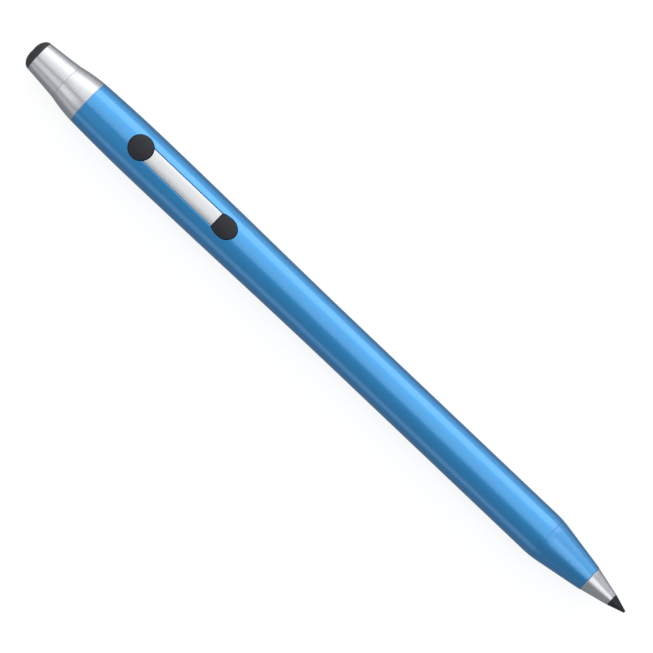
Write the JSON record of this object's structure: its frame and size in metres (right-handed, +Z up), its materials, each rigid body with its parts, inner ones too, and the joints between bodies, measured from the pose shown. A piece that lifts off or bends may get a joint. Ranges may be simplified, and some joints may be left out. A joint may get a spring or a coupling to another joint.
{
  "type": "3d printing pen",
  "caption": "Slim 3D printing pen: blue metal barrel with buttons and a silver inlay on top, silver tail, silver ferrule, black heated nozzle.",
  "frame": {"origin": "on the surface the pen lies on, under the middle of its length and on its centre plane", "axes": "+X along the pen from the tail to the nozzle, +Z up through the buttons, +Y to the pen's left"},
  "size_m": [0.195, 0.0128, 0.0131],
  "materials": {
    "anodised_blue": "blue anodised, semi-gloss metallic",
    "satin_silver": "satin silver, clear anodised",
    "inlay_silver": "bright satin silver",
    "black_plastic": "moulded black, satin",
    "button_black": "moulded black, semi-gloss",
    "nozzle_black": "brass with a black ceramic coating",
    "inner_plastic": "glass-filled nylon, dark grey",
    "board_green": "solder mask over glass fibre board",
    "chip_black": "moulded epoxy",
    "ferrite": "sintered ferrite",
    "chip_parts": "fired ceramic chips with tinned ends",
    "connector_ivory": "natural nylon",
    "contact_gold": "gold flashed brass",
    "brass": "turned brass",
    "bearing_bronze": "sintered bronze",
    "steel": "turned steel",
    "polished_steel": "ground and polished steel",
    "black_steel": "black oxide steel",
    "ptfe_white": "extruded fluoropolymer tube, milky white",
    "stem_ivory": "moulded acetal",
    "insulator_tan": "machined high-temperature plastic",
    "ceramic_white": "fired alumina",
    "mica_tan": "rolled mica sheet",
    "bead_amber": "glass bead",
    "wire_red": "silicone insulation",
    "wire_black": "silicone insulation",
    "wire_glass": "glass fibre sleeving",
    "wire_blue": "enamel and fluoropolymer insulation"
  },
  "bodies": {
    "body": {"barrel": "anodised_blue", "nose_cone": "anodised_blue", "ferrule": "satin_silver", "nozzle": "nozzle_black", "tail_collar": "satin_silver", "tail_sleeve": "satin_silver", "end_cap": "black_plastic", "inlay_strip": "inlay_silver", "inlet_bush": "polished_steel", "jack_body": "black_plastic", "jack_contacts": "contact_gold", "jack_holder": "inner_plastic", "power_leads": "wire_red", "pcb_tray": "inner_plastic", "pcb": "board_green", "pcb_screws": "steel", "controller_chip": "chip_black", "power_transistors": "chip_black", "inductor": "ferrite", "passives": "chip_parts", "wire_connector": "connector_ivory", "feed_switch": "chip_black", "retract_switch": "chip_black", "rear_guide_tube": "ptfe_white", "motor_end_cap": "chip_black", "motor_can": "steel", "gearbox": "steel", "motor_terminals": "contact_gold", "motor_leads": "wire_black", "motor_cradle": "inner_plastic", "tie_rods": "steel", "drive_frame": "inner_plastic", "rear_bearing": "bearing_bronze", "front_bearing": "bearing_bronze", "arm_pin": "polished_steel", "arm_spring": "steel", "front_guide_tube": "ptfe_white", "insulator_plug": "insulator_tan", "heat_break": "polished_steel", "heater_core": "ceramic_white", "heater_sleeve": "mica_tan", "heater_leads": "wire_glass", "thermistor": "bead_amber", "thermistor_leads": "wire_blue", "nose_insulator": "ceramic_white"},
    "feed_button": {"feed_button": "button_black", "feed_plunger": "stem_ivory"},
    "retract_button": {"retract_button": "button_black", "retract_plunger": "stem_ivory"},
    "drive_shaft": {"output_shaft": "polished_steel", "shaft_coupling": "brass", "coupling_screws": "black_steel", "screw_shaft": "polished_steel", "drive_screw": "steel"},
    "pressure_arm": {"pressure_arm": "steel", "roller_pin": "polished_steel"},
    "pressure_roller": {"pressure_roller": "polished_steel"}
  },
  "joints": [
    {"name": "feed_press", "type": "slide", "parent": "body", "child": "feed_button", "axis": [0, 0, -1], "range_m": [0, 0.00035], "stiffness_N_per_m": 4000},
    {"name": "retract_press", "type": "slide", "parent": "body", "child": "retract_button", "axis": [0, 0, -1], "range_m": [0, 0.00035], "stiffness_N_per_m": 4000},
    {"name": "shaft_spin", "type": "hinge", "parent": "body", "child": "drive_shaft", "pos_m": [0.028, 0, 0.0085], "axis": [1, 0, 0], "continuous": true},
    {"name": "arm_pivot", "type": "hinge", "parent": "body", "child": "pressure_arm", "pos_m": [0.034, 0, 0.0035], "axis": [0, 1, 0], "range_deg": [0, 4], "stiffness_Nm_per_rad": 0.16, "deforming": ["arm_spring"]},
    {"name": "roller_spin", "type": "hinge", "parent": "pressure_arm", "child": "pressure_roller", "pos_m": [0.039, 0, 0.00365], "axis": [0, 1, 0], "continuous": true}
  ],
  "couplings": [
    {"joint": "roller_spin", "follows": "shaft_spin", "ratio": -0.11368}
  ]
}
